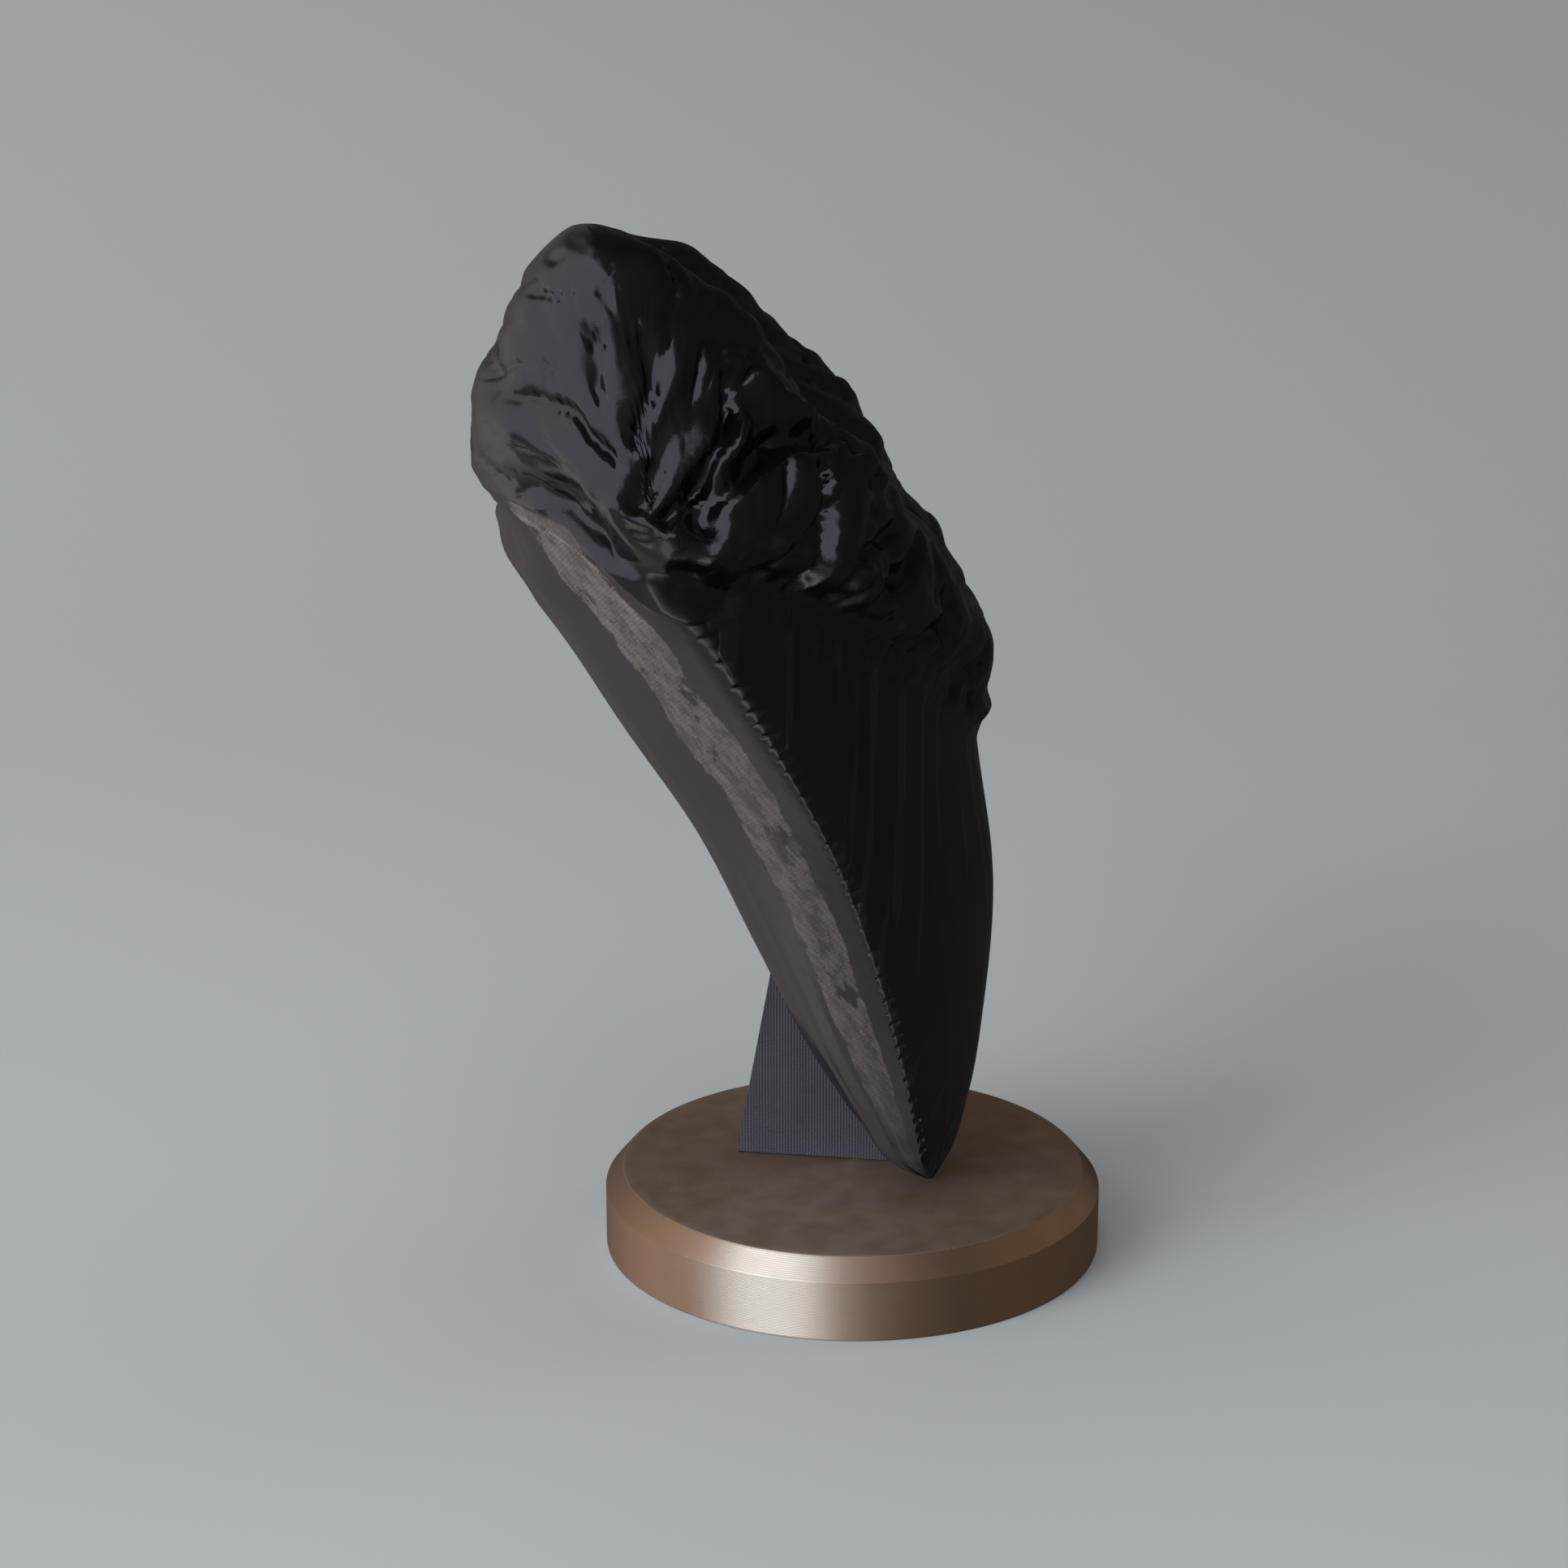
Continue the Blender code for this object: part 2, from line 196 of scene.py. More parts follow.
# ---- Light ----------------------------------------------------------------------------------
# Soft daylight from the left, from a window behind the camera and a little from overhead.


def soft_light(name, place, size, watts, colour):
    """A square soft box that looks at the tooth."""
    light = bpy.data.lights.new(name, "AREA")
    light.size = size
    light.energy = watts
    light.color = colour
    lamp = bpy.data.objects.new(name, light)
    lamp.visible_glossy = False
    lamp.location = place
    lamp.rotation_euler = (Vector((0, 0, .08)) - Vector(place)).to_track_quat("-Z", "Y").to_euler()
    bpy.context.collection.objects.link(lamp)
    return lamp


soft_light("window", (-.9, 1.1, .75), .9, 23, (.95, .98, 1))
soft_light("ceiling", (.1, .1, 1.6), 1.6, 8, (.97, .99, 1))
soft_light("far_corner", (.35, -.95, .85), .5, 2, (1, .97, .94))

# The room that the gloss reflects: colours round the horizon, from +X through +Y, for a bright
# window wall, the darker room under a tilted line, and the pale table edge low down
world = bpy.data.worlds.new("room")
bpy.context.scene.world = world
world.use_nodes = True
room = Nodes(world.node_tree)
looks = room.add("ShaderNodeTexCoord").outputs["Generated"]
axes = room.add("ShaderNodeSeparateXYZ", Vector=looks)
around = room.math("DIVIDE", room.math("ARCTAN2", axes.outputs["Y"], axes.outputs["X"]), 2*math.pi)
around = room.math("FRACT", room.math("ADD", around, 1))
blotches = room.noise(looks, 6, 4)
around = room.math("ADD", around, room.math("MULTIPLY", room.math("SUBTRACT", blotches, .5), .03))
wall = room.ramp(around, (0, (.09, .085, .09)), (.05, (.16, .14, .145)), (.09, (.27, .235, .24)),
                 (.13, (.52, .45, .45)), (.19, (1.12, .98, 1.02)), (.25, (1.3, 1.16, 1.28)),
                 (.30, (1.38, 1.26, 1.62)), (.54, (1.40, 1.30, 1.65)))
dark = room.ramp(around, (.22, (.19, .17, .18)), (.40, (.30, .27, .28)), (.52, (.22, .22, .24)),
                 (.62, (.15, .15, .15)), (.76, (.08, .08, .08)), (.88, (.035, .035, .035)),
                 (1, (.03, .03, .03)))
tilted = room.math("SUBTRACT", around, room.math("MULTIPLY", axes.outputs["Z"], .28))
table = room.ramp(around, (.30, (.40, .38, .37)), (.39, (.58, .55, .53)), (.43, (2.0, 1.9, 1.85)),
                  (.47, (.70, .66, .64)), (.53, (.34, .32, .31)), (.60, (.13, .12, .12)),
                  (.80, (.07, .07, .07)), (.90, (.03, .03, .03)))
dark = room.mix(room.range(axes.outputs["Z"], -.12, -.24), dark, table)
wall = room.mix(room.range(tilted, .335, .365), wall, dark)
background = world.node_tree.nodes["Background"]
room.tree.links.new(wall, background.inputs["Color"])

# ---- Tooth ----------------------------------------------------------------------------------
# A megalodon tooth copied at natural size in black plastic with a silky gloss, built up in
# fine layers. The crown's enamel has scalloped cutting edges; the root is a furrowed crust.

TOOTH_LENGTH = .164
TOOTH_LEAN = math.radians(16.3)
TOOTH_ROLL = math.radians(3.0)
TOOTH_TIP = (-.0088, -.0120, .0133)

# Sections, as fractions of the length; a station is 0 at the tip and 1 on the basal margin
STATIONS = (0, .03, .09, .18, .31, .46, .60, .72, .83, .92, 1)
HALF_WIDTH = (0, .040, .084, .140, .198, .255, .312, .360, .395, .397, .386)
LIP_BULGE = (0, .027, .052, .081, .104, .120, .137, .147, .164, .143, .120)
TONGUE_BULGE = (0, .027, .057, .089, .128, .157, .203, .204, .194, .164, .122)
EDGE_OFFSET = (0, -.001, .003, .008, .011, .004, -.017, -.036, -.054, -.058, -.052)
MARGIN_PLACES = (-1, -.86, -.66, -.40, -.12, 0, .12, .40, .66, .86, 1)
MARGIN_HEIGHTS = (.76, .886, .942, .904, .845, .835, .84, .94, 1.0, .95, .79)
LEVEL_MARGIN = .90
ROOT_STATION = .60
ROOT_RIM = .31
OUTLINE_STEPS = 120
CORNER_ACROSS = .008
CORNER_STATION = .03
ENAMEL_PLACES = (0, .2, .4, .75, .87, .93, 1)
TONGUE_ENAMEL = (.432, .44, .462, .552, .602, .630, .668)
LIP_ENAMEL = (.79, .795, .80, .79, .765, .735, .668)
SERRATION_COUNT = 50
SERRATION_DEPTH = .0042
SERRATED_TO = .685
EDGE_BEAD = .0014
ROWS_PER_SERRATION = 5
ROOT_ROWS = 210
COLUMNS = 104

# Pitch and height of the root's relief, in millimetres, from its lumps to its grain
LUMP_PITCH, LUMP_HEIGHT = 12, 1.1
FOLD_PITCH, FOLD_HEIGHT = 5.2, 2.1
SMALL_FOLD_PITCH, SMALL_FOLD_HEIGHT = 2.8, .75
GRAIN_PITCH, GRAIN_HEIGHT = 1.6, .08
ENAMEL_FOLD_HEIGHT = .10

DEEP_BLACK = (.0014, .0013, .0015, 1)
SOFT_BLACK = (.0034, .0031, .0036, 1)
STREAK_COLOUR = (.0075, .0068, .0070, 1)
# Tan of the lip side's band: matte silk, and a painted reflection
SILK_AND_REFLECTION_COLOUR = (.038, .031, .026, 1)
SILK_TINT = (1, .86, .78, 1)
TOOTH_LINES_PER_METRE = 4200
SILK_LINES_PER_METRE = 1700


def smooth_curve(x, places, values):
    """A smooth curve through the values at the places, as cubics with matched slopes."""
    places = np.asarray(places, dtype=float)
    values = np.asarray(values, dtype=float)
    slopes = np.gradient(values, places)
    x = np.clip(x, places[0], places[-1])
    first = np.clip(np.searchsorted(places, x, side="right") - 1, 0, len(places) - 2)
    span = places[first + 1] - places[first]
    t = (x - places[first])/span
    return ((1 + 2*t)*(1 - t)**2*values[first] + t*(1 - t)**2*span*slopes[first]
            + t*t*(3 - 2*t)*values[first + 1] + t*t*(t - 1)*span*slopes[first + 1])


def ramp(x, start, end):
    """0 before start, 1 after end and smooth between them."""
    t = np.clip((x - start)/(end - start), 0, 1)
    return t*t*(3 - 2*t)


def bump(x, middle, width):
    """A smooth hump, 1 at the middle."""
    return np.exp(-((x - middle)/width)**2)


def enamel_height(side, across):
    """Where the enamel ends, side -1 being the lip side and 1 the tongue side."""
    return smooth_curve(np.abs(across), ENAMEL_PLACES, LIP_ENAMEL if side < 0 else TONGUE_ENAMEL)


def flat_place(across, station):
    """Width and height of points of the tooth, as fractions of its length: the width is across
    times the half width, and the height is the station drawn to the margin's curve."""
    in_root = np.clip((station - ROOT_STATION)/(1 - ROOT_STATION), 0, 1)
    margin = smooth_curve(across, MARGIN_PLACES, MARGIN_HEIGHTS)
    height = LEVEL_MARGIN*station + (margin - LEVEL_MARGIN)*in_root**2
    return across*smooth_curve(station, STATIONS, HALF_WIDTH), height


def distance_to_route(points, route):
    """Distance of each point from a route of straight lines."""
    nearest = np.inf
    for start, end in zip(route, route[1:] or route):
        along = np.subtract(end, start)
        share = np.clip((points - start) @ along/max(along @ along, 1e-9), 0, 1)
        away = np.linalg.norm(points - start - share[:, None]*along, axis=1)
        nearest = np.minimum(nearest, away)
    return nearest


def root_outline():
    """The route of the root's outline, up one edge, along the basal margin and down the other."""
    station = np.linspace(ROOT_STATION - .1, 1, OUTLINE_STEPS)
    across = np.sin(np.linspace(1, -1, 2*OUTLINE_STEPS)*math.pi/2)
    edge = np.ones(OUTLINE_STEPS)
    width, height = flat_place(np.concatenate([edge, across, -edge]),
                               np.concatenate([station, np.ones(2*OUTLINE_STEPS), station[::-1]]))
    return list(zip(width, height))


def tooth_side(side, across, station):
    """Points of one side: its depth is the edge's offset plus the bulge times a closing, which
    falls to 0 at the cutting edges like a parabola and all round the root like a blunt rim."""
    corner = (1 - np.abs(across))/CORNER_ACROSS + (1 - station)/CORNER_STATION < 1
    across = np.where(corner, np.sign(across), across)
    station = np.where(corner, 1, station)
    width, height = flat_place(across, station)
    above = height - enamel_height(side, across)
    root = ramp(above, -.02, .08)
    inward = distance_to_route(np.stack([width, height], -1).reshape(-1, 2), root_outline())
    inward = np.clip(inward.reshape(width.shape)/ROOT_RIM, 0, 1)
    blunt = ramp(above, -.03, .04)
    closing = (1 - across**2)**(1 - blunt)*(1 - (1 - inward)**2.3)**blunt
    closing = np.where((np.abs(across) > .99999) | (station > .99999), 0, closing)
    rounded = np.sqrt(closing)

    turn = SERRATION_COUNT*height/SERRATED_TO
    uneven = .6 + .4*np.sin(5.1*turn + np.sign(across))*np.sin(1.7*turn)
    notch = uneven*(1 - np.abs(np.sin(np.pi*turn)))
    serrated = ramp(height, .02, .06)*(1 - ramp(height, SERRATED_TO - .03, SERRATED_TO))
    width = width - np.sign(across)*SERRATION_DEPTH*notch*serrated*ramp(np.abs(across), .982, 1)

    depth = smooth_curve(station, STATIONS, EDGE_OFFSET)
    if side < 0:
        fuller = ramp(above, -.30, .06)
        depth = depth - smooth_curve(station, STATIONS, LIP_BULGE)*closing**(1 - .4*fuller)
        depth = depth - .013*bump(height, .845, .042)*rounded
        depth = depth + .02*ramp(station, .80, .97)*bump(across, 0, .34)*rounded
    else:
        depth = depth + smooth_curve(station, STATIONS, TONGUE_BULGE)*closing**(.8 - .25*root)
        depth = depth - .11*ramp(station, .70, .92)*bump(across, .02, .36)*rounded
        depth = depth + .022*ramp(station, .62, .86)*bump(across, -.60, .22)*rounded
        knob = ramp(above, -.008, .012)*(1 - ramp(above, .05, .15))*bump(across, 0, .5)
        depth = depth + .014*knob*rounded
    bead = EDGE_BEAD*np.sqrt(np.clip((1 - np.abs(across))/EDGE_BEAD/2, 0, 1))
    return width, depth + side*bead*(1 - root), height, closing


def tooth_rings():
    """The tooth as a grid of closed rings from the tip to the margin: place, side, place across,
    height above the enamel's edge and closing."""
    share = np.linspace(0, 1, ROOT_ROWS + 1)
    crown = np.linspace(0, SERRATED_TO/LEVEL_MARGIN, SERRATION_COUNT*ROWS_PER_SERRATION + 1)
    root = crown[-1] + (1 - crown[-1])*(.4*share + .6*np.sin(share*math.pi/2))
    stations = np.concatenate([crown, root[1:]])
    across = np.sin(np.linspace(-1, 1, COLUMNS + 1)*math.pi/2)
    rings = []
    for side, places in ((-1, across[:-1]), (1, across[::-1][:-1])):
        place, station = np.meshgrid(places, stations)
        width, depth, height, closing = tooth_side(side, place, station)
        above = height - enamel_height(side, place)
        sides = np.full_like(place, side)
        rings.append(np.stack([width, depth, height, sides, place, above, closing], -1))
    return np.concatenate(rings, axis=1)


def merged(rings):
    """The rings' points with those that coincide made one, and the triangles between them."""
    rows, columns, _ = rings.shape
    values = rings.reshape(-1, rings.shape[2])
    _, first, index = np.unique(np.round(values[:, :3], 6), axis=0, return_index=True,
                                return_inverse=True)
    quads = index.ravel()[grid_faces(rows, columns, True)]
    triangles = np.concatenate([quads[:, [0, 1, 2]], quads[:, [0, 2, 3]]])
    a, b, c = triangles.T
    return values[first], triangles[(a != b) & (b != c) & (c != a)]


def value_noise(points, pitch, seed):
    """Smooth random heights from -1 to 1: random values on a lattice of the pitch, blended."""
    table = np.random.default_rng(seed).uniform(-1, 1, (32, 32, 32))
    cell = np.floor(points/pitch).astype(int)
    t = points/pitch - cell
    t = t*t*(3 - 2*t)
    total = 0
    for x in (0, 1):
        for y in (0, 1):
            for z in (0, 1):
                corner = table[tuple(((cell + (x, y, z)) % 32).T)]
                weight = np.abs(1 - x - t[:, 0])*np.abs(1 - y - t[:, 1])*np.abs(1 - z - t[:, 2])
                total = total + corner*weight
    return total


# Furrows, pits and swellings: the route in the tooth's own axes, the width and the height in
# millimetres, which is negative in a furrow. A pit is a route of one point. Those under 5 mm
# wide are on the root only.
MARKS = (
    (((55.8, -10.2, 152), (57, -9.5, 149), (58.2, -11.1, 144)), 1, -1.2),
    (((55.5, -17.1, 143.4), (57.3, -14.9, 142.4), (59.1, -13.8, 139), (61, -11.8, 135.2)),
     .8, -1.2),
    (((60.7, -7.5, 137.2), (61, -5.7, 134.4), (62.4, -7.6, 131.7), (63.6, -10.1, 128.7)),
     1.6, -1.3),
    (((56.1, -4.5, 148.4), (57.1, -3.9, 144.7), (59.7, -6.2, 139.5), (60.6, -8.3, 138.1)),
     1.3, -1.1),
    (((52.3, 5.2, 140), (55.1, 4.4, 135.2), (59.5, 0, 131.4), (61.6, -2, 128.6),
      (64.6, -7.5, 125.7)), 1.3, -1.9),
    (((49.1, -26.7, 133.5),), 1.2, .6),
    (((54.4, -22.5, 133.7),), 1.4, .7),
    (((56.8, -20.4, 131.9),), 1.2, .6),
    (((60.6, -15.7, 130.8),), 1.2, .6),
    (((62.6, -13, 128.8),), 1.3, .7),
    (((63.8, -11.6, 127.4), (64.5, -10.1, 126.4)), 1, .6),
    (((65, -8.8, 124.9), (65, -7.3, 123.2)), 1.2, .8),
    (((48.1, -8.7, 162.9),), 1, -.9),
    (((48.3, -11.5, 161.8),), 1, -.9),
    (((49.1, -15.2, 158.1), (52.6, -11.5, 157.2), (54, -6.7, 155.9)), .7, -.7),
    (((44.4, -24.2, 148.4), (50.2, -19.7, 149.3)), .6, -.5),
    (((50.7, -21.3, 145.4), (53.3, -19.1, 144.9)), .8, -.5),
    (((55.2, -.8, 144.7), (57.3, -2.3, 141.3), (60, -6.3, 138.4)), 1.4, .6),
    (((54.5, 5.8, 133.8), (57.9, 3.2, 130.5), (60.6, .3, 128.1)), 1.6, 1.3),
    (((55.5, -22, 128.5), (57.3, -20.8, 126.9), (63.9, -14.1, 123.3), (65.1, -8.7, 117.9),
      (61.6, -3.8, 111.8)), 2.8, -1.8),
    (((42.5, 17, 127), (51.4, 10.8, 129.6), (56.9, 5.6, 128.7), (61.7, -1.2, 127.4),
      (63.6, -2.9, 124.2)), 2.2, -3),
    (((50.3, 6.2, 141.7), (47, 12.1, 133.7), (42, 17.2, 127.3), (42.1, 19.2, 122.2),
      (39.6, 20.5, 118.2)), 1.4, 1.5),
    (((49.9, 14.6, 123.8), (52.7, 13.4, 117.2), (55.5, 9.1, 112.3), (54.9, 7.5, 109.3)),
     1.4, -2.4),
    (((37.3, 21.6, 110.3), (50.4, 13.9, 110.3), (50.3, 12.4, 106.7)), 1.1, -1.8),
    (((30, 25, 106), (38.3, 21.1, 104.5), (44.4, 17.4, 103.9)), 1.5, -2.2),
    (((38, 20.5, 126), (42, 18.7, 123.3)), 1.1, -1.6),
    (((25.6, 26.4, 96.6), (28.1, 25.7, 93.3), (35.7, 21.3, 94.2)), 1.2, -1.8),
    (((19.3, 27.6, 83.5), (22, 26, 83), (24.4, 23.9, 81.2)), 1.1, -1.8),
    (((17.7, 26.7, 78.5), (13.2, 27.4, 74.8)), 1.2, -1.8),
    (((60.6, .3, 128),), 9, 2),
    (((30, -32.7, 127), (12.6, -34.9, 118.5), (-12, -35, 118), (-30, -32.7, 126)), 8, -1.7),
    (((59.9, 5.5, 118),), 1.3, 1.1),
    (((54.2, 8.4, 109.1),), 1.2, 1.1),
    (((54.9, 4.6, 106.8),), 1.2, 1.1),
    (((42.1, 16.2, 97.2),), 1.1, 1.1),
    (((39.8, 18.6, 96.7),), 1.1, 1.1),
    (((59.9, 2.5, 113.5),), 1.2, -1.3),
    (((62.7, -.4, 117), (64.1, -3.2, 119.3)), 1.6, 1.1),
    (((-51, -11, 140), (-55, -10, 133)), 1, -1.8),
    (((-58, -15, 134), (-59, -12, 127)), 1.2, -1.6),
    (((-54, 4, 131), (-59, 0, 125), (-63, -6, 120)), 1.4, -1.8),
    (((-44, 15, 122), (-54, 9, 121), (-62, 0, 119)), 2.2, -2),
    (((-45, 16, 117), (-52, 11, 110)), 1.6, -1.8),
    (((-29, 26, 106), (-36, 23, 102), (-43, 19, 100)), 1.5, -1.6),
    (((-40, 18, 94),), 1.2, -1.4),
    (((-26, 27, 84),), 1.6, -1.6),
    (((-9, 31, 79),), 1.3, -1.4),
    (((-57, 5, 116),), 4.5, 1.8),
    (((-46, 17, 109),), 4, 1.6),
    (((-33, 25, 95),), 4, 1.4),
    (((-60, 1, 112),), 2, 1.2),
    (((0, 27, 104), (1, 30, 97)), 1.2, -1.6),
)


def pillows(points, pitch, stretch, seed):
    """Puffy folds between sharp furrows, which run down and out to the cutting edges: the root
    of a noise that is drawn out along them, so that a furrow lies wherever the noise is 0."""
    x, y, z = (points + 1.5*value_noise(points, 7, seed + 20)[:, None]).T
    over = .7*np.abs(x) + .7*z
    along = .7*np.abs(x) - .7*z
    folds = value_noise(np.stack([over, along*stretch, y*stretch], -1), pitch, seed)
    return np.sqrt(np.abs(folds) + .002) - .5


def tooth_relief(values):
    """Height of the relief in millimetres: a step up to the root, the groove and the rolled
    ridge along the enamel's edge, the marks on wavering routes, lumps and two sizes of puffy
    folds on the root, and faint folds that run along the enamel."""
    points = values[:, :3]*TOOTH_LENGTH*1000
    side, across, above, closing = values[:, 3:7].T
    root = ramp(above, .0, .02)
    tongue = ramp(side*closing, -.85, -.35)
    thick = ramp(closing, 0, .25)
    beside = ramp(np.abs(across), .55, .95)
    length = TOOTH_LENGTH*1000
    wander = .004*value_noise(points, 5, 1) + .002*value_noise(points, 2.2, 2)
    along = above + wander
    relief = length*(.0015 + .0045*tongue)*ramp(along, .0, .012)
    groove = length*(.006 + .016*beside*thick)*(.10 + .90*tongue)
    relief = relief - groove*bump(along, .024 + .011*beside, .014 + .010*beside)
    relief = relief + length*(.005 + .005*beside)*(.1 + .9*tongue)*bump(along, .078, .020)
    relief = relief + length*.003*(.3 + .7*tongue)*thick*bump(along, -.004, .007)

    bent = points + np.stack([value_noise(points, 3.1, seed) for seed in (3, 4, 5)], -1)*.6
    for route, width, rise in MARKS:
        share = root if width < 5 else thick
        relief = relief + share*np.exp(-(distance_to_route(bent, route)/width)**3)*rise

    crust = ramp(above, .015, .05)*thick
    wrinkled = .15 + .85*ramp(tongue*(1 - .5*beside), .2, .7)
    relief = relief + LUMP_HEIGHT*value_noise(points, LUMP_PITCH, 6)*crust
    relief = relief + FOLD_HEIGHT*pillows(points, FOLD_PITCH, .42, 13)*crust*wrinkled
    small_folds = pillows(points, SMALL_FOLD_PITCH, .5, 14)
    relief = relief + SMALL_FOLD_HEIGHT*small_folds*root*thick*wrinkled
    relief = relief + GRAIN_HEIGHT*value_noise(points, GRAIN_PITCH, 10)*root

    enamel = 1 - ramp(above, -.03, 0)
    folds = value_noise(np.stack([across*26, side*3, points[:, 2]/60], -1), 1, 11)
    folds = folds + .5*value_noise(np.stack([across*70, side*3, points[:, 2]/30], -1), 1, 12)
    return relief + ENAMEL_FOLD_HEIGHT*folds*enamel*ramp(closing, .08, .5)


def to_stand(points):
    """The tooth's own axes turned to how it stands: half a turn about Z, the lean, the roll."""
    lean_cos, lean_sin = math.cos(TOOTH_LEAN), math.sin(TOOTH_LEAN)
    roll_cos, roll_sin = math.cos(TOOTH_ROLL), math.sin(TOOTH_ROLL)
    half_turn = np.array([[-1, 0, 0], [0, -1, 0], [0, 0, 1]])
    lean = np.array([[1, 0, 0], [0, lean_cos, lean_sin], [0, -lean_sin, lean_cos]])
    roll = np.array([[roll_cos, 0, roll_sin], [0, 1, 0], [-roll_sin, 0, roll_cos]])
    return points @ (roll @ lean @ half_turn).T + TOOTH_TIP


values, triangles = merged(tooth_rings())
tooth = new_piece("tooth_surface", values[:, :3], triangles)
normals = np.empty(3*len(values))
tooth.data.vertices.foreach_get("normal", normals)
relief = tooth_relief(values)
points = values[:, :3]*TOOTH_LENGTH + normals.reshape(-1, 3)*relief[:, None]/1000
low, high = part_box("tooth")
tooth.data.vertices.foreach_set("co", np.clip(to_stand(points), low, high).ravel())
tooth.data.update()
for name, value in (("above_enamel", values[:, 5]), ("across", values[:, 4]),
                    ("side", values[:, 3])):
    tooth.data.attributes.new(name, "FLOAT", "POINT").data.foreach_set("value", value)


def layer_lines_group():
    """Fine lines left by printing in layers: a height along one direction, broken by noise."""
    group = bpy.data.node_groups.new("layer_lines", "ShaderNodeTree")
    group.interface.new_socket("Place", in_out="INPUT", socket_type="NodeSocketVector")
    group.interface.new_socket("Along", in_out="INPUT", socket_type="NodeSocketVector")
    group.interface.new_socket("Lines per metre", in_out="INPUT", socket_type="NodeSocketFloat")
    group.interface.new_socket("Height", in_out="OUTPUT", socket_type="NodeSocketFloat")
    inside = Nodes(group)
    given = inside.add("NodeGroupInput").outputs
    sweep = inside.add("ShaderNodeVectorMath", {"operation": "DOT_PRODUCT"}, _0=given["Place"],
                       _1=given["Along"]).outputs["Value"]
    phase = inside.math("MULTIPLY", sweep, given["Lines per metre"])
    wave = inside.math("ABSOLUTE", inside.math("SINE", inside.math("MULTIPLY", phase, math.pi)))
    patchy = inside.noise(given["Place"], 150, 2)
    height = inside.math("MULTIPLY", wave, inside.range(patchy, .3, .7, .7, 1))
    inside.add("NodeGroupOutput", Height=height)
    return group


layer_lines = layer_lines_group()


def layered(nodes, place, along, lines_per_metre):
    """Height of the layer lines that lie across a direction."""
    made = nodes.add("ShaderNodeGroup", {"node_tree": layer_lines}, Place=place, Along=along,
                     Lines_per_metre=lines_per_metre)
    return made.outputs["Height"]


material, nodes, shader = new_material("glossy_black")
place = nodes.add("ShaderNodeTexCoord").outputs["Object"]
above = nodes.add("ShaderNodeAttribute", {"attribute_name": "above_enamel"}).outputs["Fac"]
across = nodes.add("ShaderNodeAttribute", {"attribute_name": "across"}).outputs["Fac"]
side = nodes.add("ShaderNodeAttribute", {"attribute_name": "side"}).outputs["Fac"]
root = nodes.range(above, 0, .02)
height = nodes.add("ShaderNodeSeparateXYZ", Vector=place).outputs["Z"]
black = nodes.mix(nodes.noise(place, 60, 3), DEEP_BLACK, SOFT_BLACK)

# Silk and painted reflection: a tan band inside the lip side's cutting edges with a cloudy border
# and a fine cross weave, which fades towards the tip. It is partly matte silky patches of the
# print and partly a painted reflection on the lit lip face
outward = nodes.math("ABSOLUTE", across)
clouds = nodes.noise(nodes.stretched(place, (1, 1, .6)), 120, 6, .68)
band = nodes.math("MULTIPLY", nodes.range(outward, .58, .72), nodes.range(outward, .96, .88))
lip = nodes.range(side, .5, -.5)
silk_and_reflection = nodes.math("MULTIPLY", nodes.math("MULTIPLY", band, lip), nodes.math("SUBTRACT", 1, root))
silk_and_reflection = nodes.math("ADD", nodes.math("SUBTRACT", clouds, 1), nodes.math("MULTIPLY", silk_and_reflection, .65))
silk_and_reflection = nodes.range(silk_and_reflection, .02, .09)
warp = layered(nodes, place, (.2, .6, .75), SILK_LINES_PER_METRE)
weft = layered(nodes, place, (-.3, .7, -.6), SILK_LINES_PER_METRE)
weave = nodes.range(nodes.math("MULTIPLY", warp, weft), .1, .5, .66, 1)
mottle = nodes.range(nodes.noise(nodes.stretched(place, (1, 1, .5)), 300, 5, .75), .40, .56, .4, 1)
silk_and_reflection = nodes.math("MULTIPLY", silk_and_reflection, nodes.math("MULTIPLY", weave, mottle))
silk_and_reflection = nodes.math("MULTIPLY", silk_and_reflection, nodes.range(height, .016, .052, .1, 1))

# Streaks down the tongue side's enamel
streaks = nodes.noise(nodes.stretched(place, (1, 1, .03)), 330, 2)
streaks = nodes.math("MULTIPLY", nodes.range(streaks, .54, .62), nodes.range(side, -.5, .5))
streaks = nodes.math("MULTIPLY", streaks, nodes.math("SUBTRACT", 1, root))
black = nodes.mix(streaks, black, STREAK_COLOUR)
# The band's tan colour is partly matte silk and partly painted reflection
nodes.tree.links.new(nodes.mix(silk_and_reflection, black, SILK_AND_REFLECTION_COLOUR), shader.inputs["Base Color"])
nodes.tree.links.new(nodes.math("MULTIPLY", silk_and_reflection, .30), shader.inputs["Sheen Weight"])
shader.inputs["Sheen Roughness"].default_value = .45
shader.inputs["Sheen Tint"].default_value = SILK_TINT

# Gloss, and the bumps of the layer lines, the skin, the root's crumpled film and the streaks
gloss = nodes.range(nodes.noise(place, 140, 4), .35, .65, .10, .20)
gloss = nodes.math("ADD", gloss, nodes.math("MULTIPLY", silk_and_reflection, .25))
nodes.tree.links.new(gloss, shader.inputs["Roughness"])
